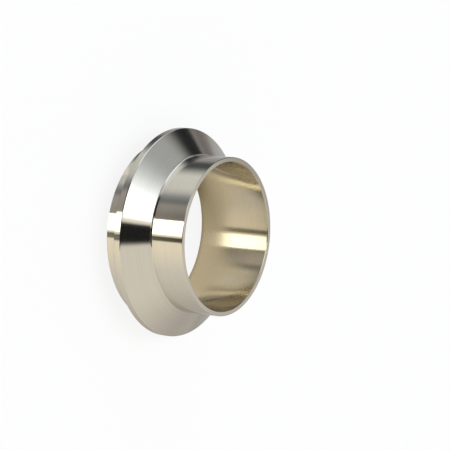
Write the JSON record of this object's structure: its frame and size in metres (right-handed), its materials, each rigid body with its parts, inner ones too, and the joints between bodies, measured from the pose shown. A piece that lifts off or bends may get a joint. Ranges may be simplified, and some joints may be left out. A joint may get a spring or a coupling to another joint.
{
  "type": "sanitary male ferrule",
  "caption": "Short thin-walled tube ferrule with a conical-backed clamp flange and a raised cylindrical male nose, turned from solid with a straight through bore.",
  "frame": {"origin": "centre of the nose face, on the axis of the bore", "axes": "+Z along the bore from the nose face to the tube end that is welded to the line; the part is round about Z"},
  "size_m": [0.0676, 0.0674, 0.0264],
  "materials": {
    "turned_steel": "fine turned stainless steel, bright, with faint ring-shaped tool marks"
  },
  "bodies": {
    "root": {"ferrule": "turned_steel"}
  },
  "joints": []
}
